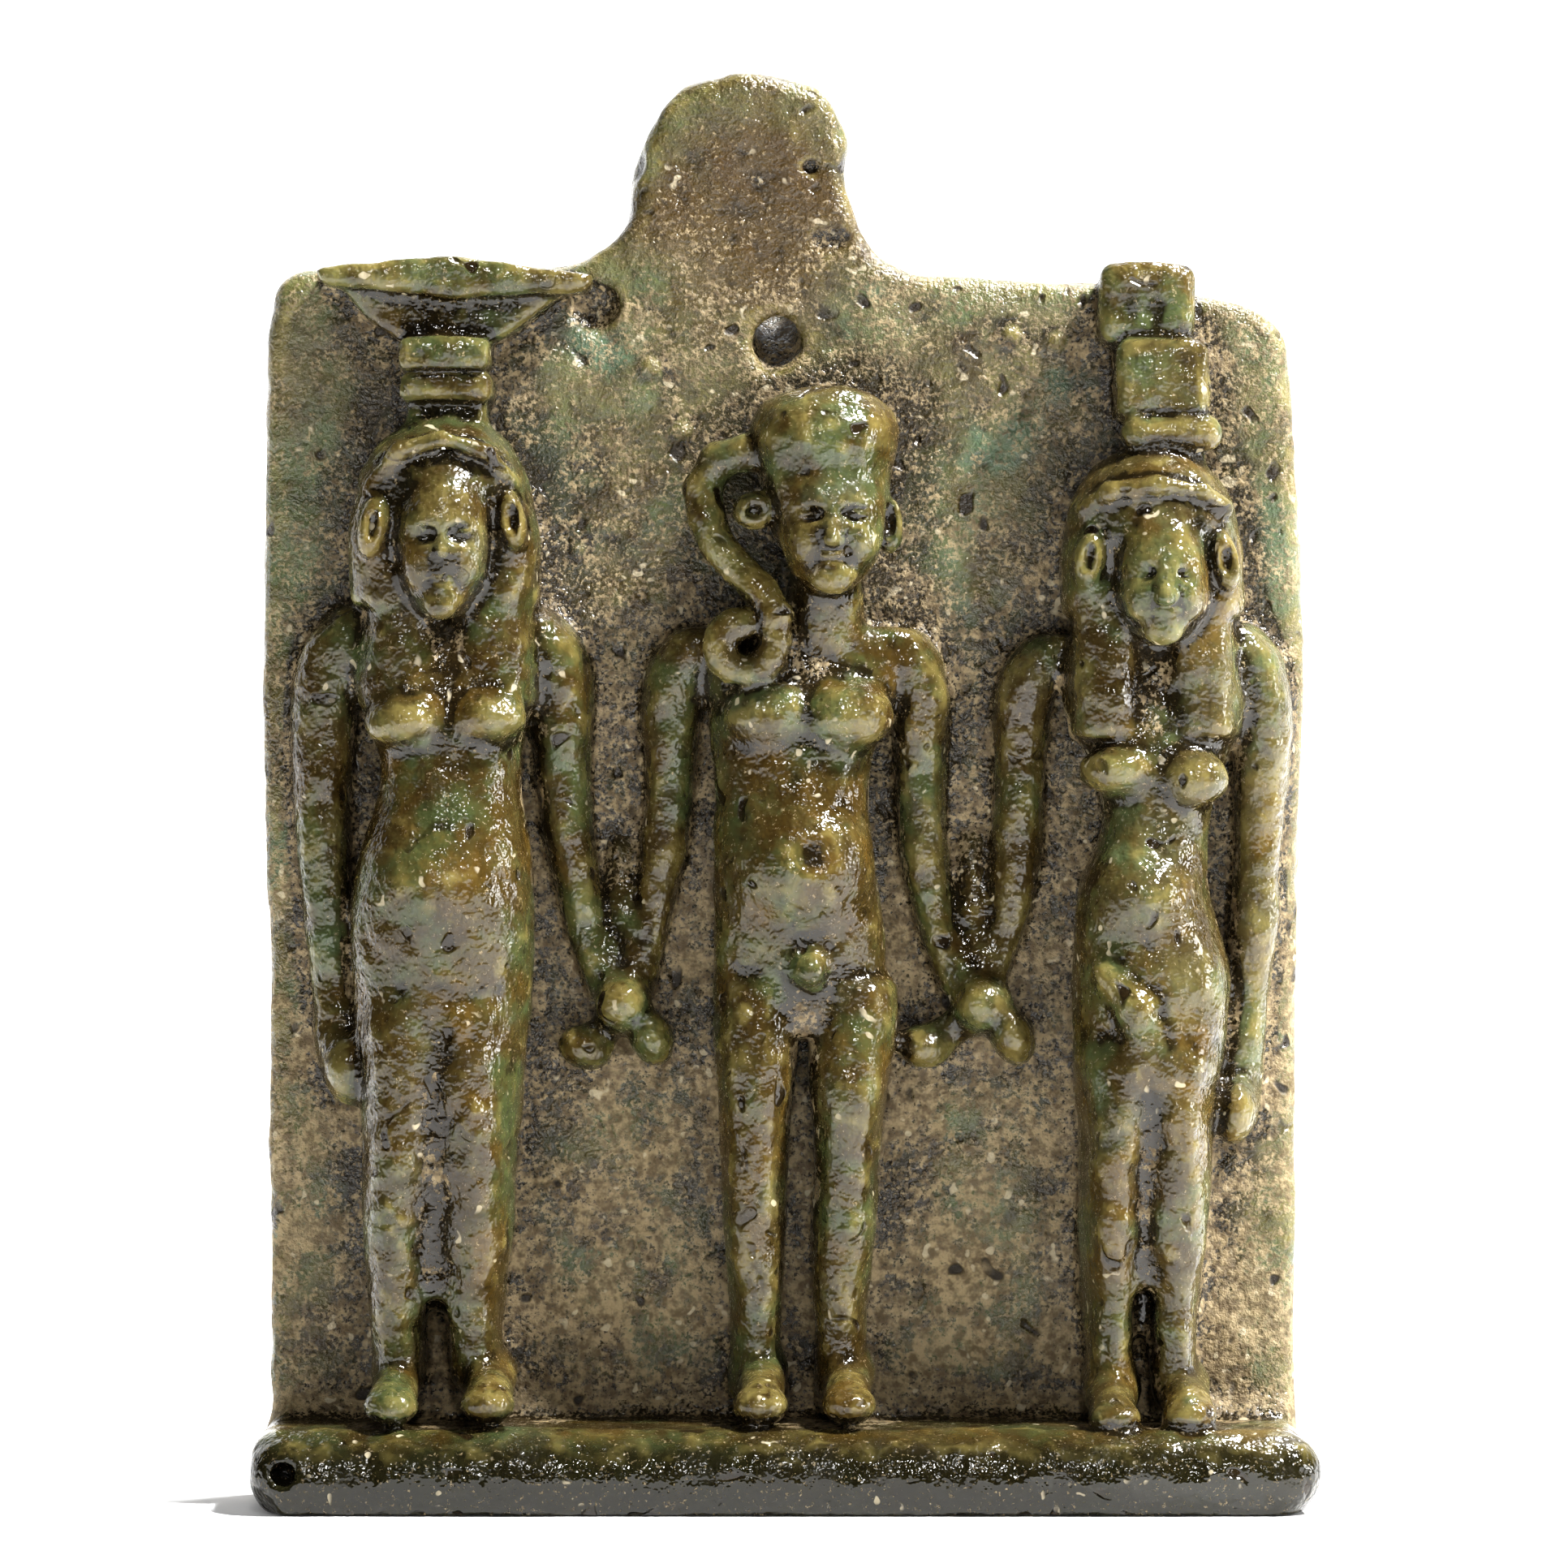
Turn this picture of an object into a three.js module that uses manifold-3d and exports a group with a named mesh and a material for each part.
// Triad amulet: three standing figures moulded in one piece with a back plate,
// a suspension tab and a base ledge. Millimetres, +Z up, the figures face -Y.
// The origin is under the middle of the base, so the part stands on z = 0.

import * as THREE from "three";
import { mergeVertices } from "three/addons/utils/BufferGeometryUtils.js";
import Module from "manifold-3d";

const wasm = await Module();
wasm.setup();

// Driving dimensions
const HEIGHT = 50;
const WIDTH = 37;
const DEPTH = 10;
const PLATE_THICKNESS = 3.2;
const PLATE_TOP = 43;
const TAB_HALF_WIDTH = 3.9;
const TAB_CENTRE_X = -1.6;
const HOLE_RADIUS = 0.85;
const HOLE_HEIGHT = 40.5;
const HOLE_X = -0.3;
const HOLE_SLANT = 36;
const FUNNEL_RADIUS = 1.35;
const LEDGE_HEIGHT = 2.9;
const EDGE_ROUND = 0.35;

// Planes and lines that follow from them
const BACK = DEPTH / 2;
const PLATE_FRONT = BACK - PLATE_THICKNESS;
const LEDGE_FRONT = -DEPTH / 2;
const HALF = WIDTH / 2;

// Facets of the round pieces
const ROUND_SIDES = 8;
const ROUND_RINGS = 6;
const ARC_STEPS = 4;

function toSolid(geometry) {
  const bare = geometry.clone();
  bare.deleteAttribute("normal");
  bare.deleteAttribute("uv");
  const merged = mergeVertices(bare, 1e-4);
  const mesh = new wasm.Mesh({
    numProp: 3,
    vertProperties: new Float32Array(merged.attributes.position.array),
    triVerts: new Uint32Array(merged.index.array),
  });
  return new wasm.Manifold(mesh);
}

function toGeometry(solid) {
  const mesh = solid.getMesh();
  const geometry = new THREE.BufferGeometry();
  geometry.setAttribute("position", new THREE.BufferAttribute(mesh.vertProperties, 3));
  geometry.setIndex(new THREE.BufferAttribute(mesh.triVerts, 1));
  geometry.computeVertexNormals();
  return geometry;
}

function joinAll(solids) {
  return solids.reduce((sum, solid) => sum.add(solid));
}

// An egg-shaped lump: centre, three half sizes and a lean about Y, in degrees
function lump(x, y, z, halfX, halfY, halfZ, lean = 0) {
  const geometry = new THREE.SphereGeometry(1, ROUND_SIDES, ROUND_RINGS);
  geometry.rotateX(Math.PI / 2);
  geometry.scale(halfX, halfY, halfZ);
  geometry.rotateY(THREE.MathUtils.degToRad(lean));
  geometry.translate(x, y, z);
  return toSolid(geometry);
}

// A tapered round limb between two points, closed with domed ends
function limb(from, to, fromRadius, toRadius, flatten = 1) {
  const start = new THREE.Vector3(...from);
  const end = new THREE.Vector3(...to);
  const length = start.distanceTo(end);
  const profile = [new THREE.Vector2(0, -fromRadius)];
  for (const turn of [-0.5, 0]) {
    const angle = (turn * Math.PI) / 2;
    profile.push(new THREE.Vector2(fromRadius * Math.cos(angle), fromRadius * Math.sin(angle)));
  }
  for (const turn of [0, 0.5]) {
    const angle = (turn * Math.PI) / 2;
    profile.push(new THREE.Vector2(toRadius * Math.cos(angle), length + toRadius * Math.sin(angle)));
  }
  profile.push(new THREE.Vector2(0, length + toRadius));
  const geometry = new THREE.LatheGeometry(profile, ROUND_SIDES);
  const along = end.clone().sub(start).normalize();
  const turnTo = new THREE.Quaternion().setFromUnitVectors(new THREE.Vector3(0, 1, 0), along);
  geometry.applyQuaternion(turnTo);
  geometry.scale(1, flatten, 1);
  geometry.translate(start.x, start.y, start.z);
  return toSolid(geometry);
}

// A round limb of one radius swept along a smooth curve through several points
function sweptLimb(points, radius) {
  const path = new THREE.CatmullRomCurve3(points.map(([x, y, z]) => new THREE.Vector3(x, y, z)));
  const section = new THREE.Shape();
  section.absarc(0, 0, radius, 0, 2 * Math.PI);
  const geometry = new THREE.ExtrudeGeometry(section, {
    extrudePath: path,
    steps: 2 * (points.length - 1),
    curveSegments: ROUND_SIDES / 2,
    bevelEnabled: false,
  });
  return toSolid(geometry);
}

// An outline in the X-Z plane made solid from y = near to y = far
function slab(shape, near, far) {
  const geometry = new THREE.ExtrudeGeometry(shape, {
    depth: far - near,
    bevelEnabled: false,
    curveSegments: ARC_STEPS,
  });
  geometry.rotateX(Math.PI / 2);
  geometry.translate(0, far, 0);
  return toSolid(geometry);
}

// A block whose front is smaller than its root, for mouldings with draft
function block(left, right, bottom, top, front, draft = 0.25) {
  const geometry = new THREE.BoxGeometry(right - left, BACK - 0.5 - front, top - bottom);
  geometry.translate((left + right) / 2, (front + BACK - 0.5) / 2, (bottom + top) / 2);
  const position = geometry.attributes.position;
  for (let i = 0; i < position.count; i += 1) {
    if (position.getY(i) < PLATE_FRONT) {
      const middleX = (left + right) / 2;
      position.setX(i, position.getX(i) + draft * Math.sign(middleX - position.getX(i)));
    }
  }
  return toSolid(geometry);
}

// Outline of the plate: gently bowed sides, soft corners and the tab on top
function plateShape() {
  const shape = new THREE.Shape();
  const tabLeft = TAB_CENTRE_X - TAB_HALF_WIDTH;
  const tabRight = TAB_CENTRE_X + TAB_HALF_WIDTH;
  shape.moveTo(-HALF + 0.3, EDGE_ROUND);
  shape.quadraticCurveTo(-HALF + 0.35, 15, -HALF + 0.3, 22);
  shape.quadraticCurveTo(-HALF - 0.15, 30, -HALF + 0.3, PLATE_TOP - 1.6);
  shape.quadraticCurveTo(-HALF + 0.3, PLATE_TOP, -HALF + 1.7, PLATE_TOP);
  shape.lineTo(tabLeft - 2.1, PLATE_TOP);
  shape.quadraticCurveTo(tabLeft - 0.3, PLATE_TOP + 0.2, tabLeft + 0.1, PLATE_TOP + 2.6);
  shape.quadraticCurveTo(tabLeft + 0.1, HEIGHT - 0.3, TAB_CENTRE_X + 0.4, HEIGHT);
  shape.quadraticCurveTo(tabRight + 0.1, HEIGHT - 0.4, tabRight, PLATE_TOP + 3.6);
  shape.quadraticCurveTo(tabRight + 0.5, PLATE_TOP + 0.2, tabRight + 2.2, PLATE_TOP - 0.1);
  shape.lineTo(11, PLATE_TOP - 0.4);
  shape.quadraticCurveTo(HALF - 0.9, PLATE_TOP - 0.8, HALF - 0.8, PLATE_TOP - 3.2);
  shape.quadraticCurveTo(HALF, 33, HALF - 0.1, 27.5);
  shape.quadraticCurveTo(HALF - 0.6, 20, HALF - 0.5, 2.8);
  shape.lineTo(HALF - 0.5, EDGE_ROUND);
  shape.lineTo(HALF - 0.5 - EDGE_ROUND, 0);
  shape.lineTo(-HALF + 0.3 + EDGE_ROUND, 0);
  shape.closePath();
  return shape;
}

// Base ledge: a flat-bottomed bar whose front leans back and whose ends are rounded
function ledge() {
  const section = new THREE.Shape();
  section.moveTo(PLATE_FRONT + 1, 0);
  section.lineTo(LEDGE_FRONT + 0.5, 0);
  section.quadraticCurveTo(LEDGE_FRONT, 0.1, LEDGE_FRONT, 0.8);
  section.lineTo(LEDGE_FRONT + 0.15, LEDGE_HEIGHT - 0.7);
  section.quadraticCurveTo(LEDGE_FRONT + 0.3, LEDGE_HEIGHT, LEDGE_FRONT + 0.9, LEDGE_HEIGHT);
  section.lineTo(PLATE_FRONT + 1, LEDGE_HEIGHT + 0.15);
  section.closePath();
  const geometry = new THREE.ExtrudeGeometry(section, {
    depth: WIDTH,
    bevelEnabled: false,
    curveSegments: ARC_STEPS,
    steps: 12,
  });
  geometry.applyMatrix4(new THREE.Matrix4().makeBasis(
    new THREE.Vector3(0, 1, 0),
    new THREE.Vector3(0, 0, 1),
    new THREE.Vector3(1, 0, 0),
  ));
  geometry.translate(-HALF, 0, 0);
  const position = geometry.attributes.position;
  for (let i = 0; i < position.count; i += 1) {
    const nearEnd = Math.max(0, Math.abs(position.getX(i)) - (HALF - 3)) / 3;
    const y = position.getY(i);
    if (y < PLATE_FRONT) {
      position.setY(i, y + 1.6 * nearEnd * nearEnd);
    }
  }
  return toSolid(geometry);
}

// Suspension hole: a bore that slants up towards the back, with a funnel-shaped mouth
function suspensionHole() {
  const profile = [
    new THREE.Vector2(0, -1),
    new THREE.Vector2(FUNNEL_RADIUS, -1),
    new THREE.Vector2(FUNNEL_RADIUS, 0.2),
    new THREE.Vector2(HOLE_RADIUS, 1.2),
    new THREE.Vector2(HOLE_RADIUS, 2 * PLATE_THICKNESS),
    new THREE.Vector2(0, 2 * PLATE_THICKNESS),
  ];
  const geometry = new THREE.LatheGeometry(profile, 16);
  geometry.rotateX(THREE.MathUtils.degToRad(HOLE_SLANT));
  geometry.translate(HOLE_X, PLATE_FRONT, HOLE_HEIGHT);
  return toSolid(geometry);
}

// A pair of rounded feet side by side on the ledge
function feet(leftX, rightX, height, front) {
  return joinAll([
    lump(leftX, front + 1.9, height, 1.05, 2.1, 0.95),
    lump(rightX, front + 1.9, height, 1.05, 2.1, 0.95),
  ]);
}

function leftGoddess() {
  const x = -11.8;
  const rim = new THREE.Shape();
  rim.moveTo(-16.2, 42.7);
  rim.quadraticCurveTo(-11.3, 43.5, -6.6, 42.5);
  rim.quadraticCurveTo(-7.4, 40.6, -10.1, 40);
  rim.lineTo(-13.2, 40);
  rim.quadraticCurveTo(-14.6, 40.8, -16.2, 42.7);
  const figure = [
    slab(rim, -0.6, PLATE_FRONT + 1),
    block(-13.3, -10.1, 39.1, 40.3, -1.4),
    block(-13.1, -10.2, 37.2, 39.2, -1),
    lump(x, -0.2, 34.6, 3, 2.6, 3),
    lump(x + 0.1, -1.9, 33, 1.6, 1.9, 2.3),
    lump(-14.1, -0.2, 33, 1, 2.2, 3),
    lump(-9.1, -0.2, 33, 1, 2.2, 3),
    limb([-14, 0, 31.5], [-13.3, -0.9, 28.4], 1.2, 1),
    limb([-9.4, 0, 31.5], [-9.9, -0.9, 28.4], 1.2, 1),
    lump(x, 0.5, 29.6, 4, 2.2, 2),
    lump(-13.2, -1.4, 27.1, 1.25, 1.4, 0.85),
    lump(-10, -1.4, 27.1, 1.25, 1.4, 0.85),
    lump(x, 0.2, 25.4, 2.5, 2.3, 2.6),
    lump(x, 0, 21, 3.4, 2.8, 2.9),
    limb([x, 0.2, 19.5], [-11.7, 0.3, 9], 3, 2.35, 0.9),
    limb([-13.2, 0.2, 10], [-13.2, 0, 4.4], 1.3, 0.95),
    limb([-10.7, 0.2, 10], [-10.6, 0, 4.4], 1.3, 0.95),
    feet(-13.4, -10.1, 3.6, -3.9),
    sweptLimb([
      [-15, 0.9, 30.2],
      [-16, 0.9, 28],
      [-16, 0.7, 22],
      [-15.6, 0.5, 17.5],
      [-15.1, 0.4, 15],
    ], 0.92),
    sweptLimb([
      [-8.4, 0.9, 30],
      [-7.8, 0.8, 27.5],
      [-7.6, 0.7, 23.5],
      [-6.8, 0.5, 19.7],
      [-5.9, 0.4, 17.4],
    ], 0.93),
  ];
  return joinAll(figure);
}

// The child's side tress, a thick strand that ends in a curl on the shoulder
function sideTress() {
  const curlRadius = 1;
  const strand = [[-0.4, -0.6, 36], [-2, -0.3, 36], [-2.95, -0.1, 34.9], [-2.6, -0.2, 33.2], [-1.5, -0.3, 31.6]];
  for (let turn = 0; turn <= 4; turn += 1) {
    const angle = THREE.MathUtils.degToRad(50 - turn * 65);
    strand.push([-1.3 + curlRadius * Math.cos(angle), -0.5, 29.7 + curlRadius * Math.sin(angle)]);
  }
  return sweptLimb(strand, 0.52);
}

function child() {
  const x = 0.7;
  return joinAll([
    lump(1.4, -0.6, 35.2, 2.4, 2.6, 3.4),
    lump(1.4, -1.9, 33.8, 1.9, 1.8, 2.4),
    lump(3.7, 0.2, 33.9, 0.6, 1, 0.9),
    lump(-1.1, -0.2, 34.4, 0.75, 1.3, 0.75),
    sideTress(),
    limb([1.4, 0.3, 32], [1.2, 0.4, 30.2], 1.4, 1.6),
    lump(x, 0.8, 29.1, 4.2, 1.6, 1.7),
    lump(-0.5, -0.5, 27.2, 1.7, 1.5, 1.3),
    lump(2.1, -0.5, 27.2, 1.6, 1.5, 1.3),
    lump(x, 0.3, 25.3, 2.8, 1.9, 2.8),
    lump(0.6, -0.6, 22, 2.9, 2.3, 2.5),
    lump(x, 0.2, 19.3, 3.1, 2, 2.6),
    lump(0.5, -1.2, 18, 0.75, 1.1, 0.8),
    limb([-0.9, 0.2, 17.4], [-0.9, 0.3, 12], 1.75, 1.35),
    limb([-0.9, 0.3, 12], [-1, 0.2, 4.6], 1.35, 0.95),
    limb([2.2, 0.2, 17.4], [2.2, 0.3, 12], 1.75, 1.3),
    limb([2.2, 0.3, 12], [2, 0.2, 4.6], 1.3, 0.95),
    feet(-0.8, 2.2, 3.6, -3.9),
    sweptLimb([
      [-3, 0.9, 29.7],
      [-4, 0.9, 27.7],
      [-4.1, 0.8, 22.9],
      [-4.5, 0.6, 20],
      [-5.4, 0.4, 17.8],
    ], 0.88),
    sweptLimb([
      [4.2, 0.9, 29.6],
      [4.8, 0.9, 27.7],
      [4.8, 0.8, 22.9],
      [5.3, 0.6, 19.9],
      [6.4, 0.4, 17.9],
    ], 0.87),
  ]);
}

function rightGoddess() {
  const x = 12.7;
  return joinAll([
    block(11.1, 14.3, 40.3, 42.6, -0.5, 0.1),
    block(11.6, 14.6, 37.6, 40.5, -1, 0.1),
    limb([12.4, -0.3, 37.1], [14.5, -0.3, 37.1], 0.7, 0.7),
    lump(x, -0.1, 34, 3, 2.6, 2.6),
    lump(13.1, -1.9, 32.3, 1.6, 1.8, 2.2),
    lump(10.3, -0.2, 33, 0.95, 2.1, 2.9),
    lump(15.3, -0.2, 33, 0.95, 2.1, 2.9),
    limb([10.7, 0, 30.4], [10.9, -0.9, 27.7], 1.25, 1.05),
    limb([15, 0, 30.4], [14.5, -0.9, 27.7], 1.25, 1.05),
    lump(x, 0.5, 28.6, 4, 2.1, 2),
    lump(11.4, -1.1, 25.3, 1.3, 1.3, 0.9),
    lump(14.3, -1.3, 25, 1.1, 1.2, 1),
    lump(13, 0.2, 24.2, 2.2, 2.1, 2.6),
    lump(12.6, 0, 19.9, 3, 2.7, 3.4),
    limb([12.7, 0.2, 18.2], [12.3, 0.3, 8.6], 2.85, 2.1, 0.9),
    limb([11.3, 0.2, 9.6], [11.3, 0, 4], 1.15, 0.9),
    limb([13.4, 0.2, 9.6], [13.4, 0, 4], 1.15, 0.9),
    feet(11.3, 13.9, 3.5, -3.9),
    sweptLimb([
      [9, 0.9, 29.4],
      [8.2, 0.8, 27],
      [8.1, 0.7, 22.9],
      [7.9, 0.5, 20],
      [7, 0.4, 17.9],
    ], 0.87),
    sweptLimb([
      [16, 0.9, 29.4],
      [16.7, 0.8, 26.5],
      [16.5, 0.7, 22],
      [16.2, 0.5, 17.8],
      [15.6, 0.4, 13.8],
    ], 0.89),
  ]);
}

// Clasped hands between neighbours
function clasp(x) {
  return joinAll([
    lump(x - 0.9, 0.8, 16, 0.9, 1.7, 0.75, -20),
    lump(x + 0.8, 0.7, 16.3, 0.95, 1.8, 0.85, 25),
  ]);
}

function moulding() {
  const body = joinAll([
    slab(plateShape(), PLATE_FRONT, BACK),
    ledge(),
    leftGoddess(),
    child(),
    rightGoddess(),
    clasp(-5.7),
    clasp(6.4),
  ]);
  return body.subtract(suspensionHole());
}

const glazedComposition = new THREE.MeshStandardMaterial({
  color: 0x6d6848,
  roughness: 0.25,
  metalness: 0,
});

const amulet = new THREE.Mesh(toGeometry(moulding()), glazedComposition);
amulet.name = "triad_amulet";

const model = new THREE.Group();
model.add(amulet);

export default model;
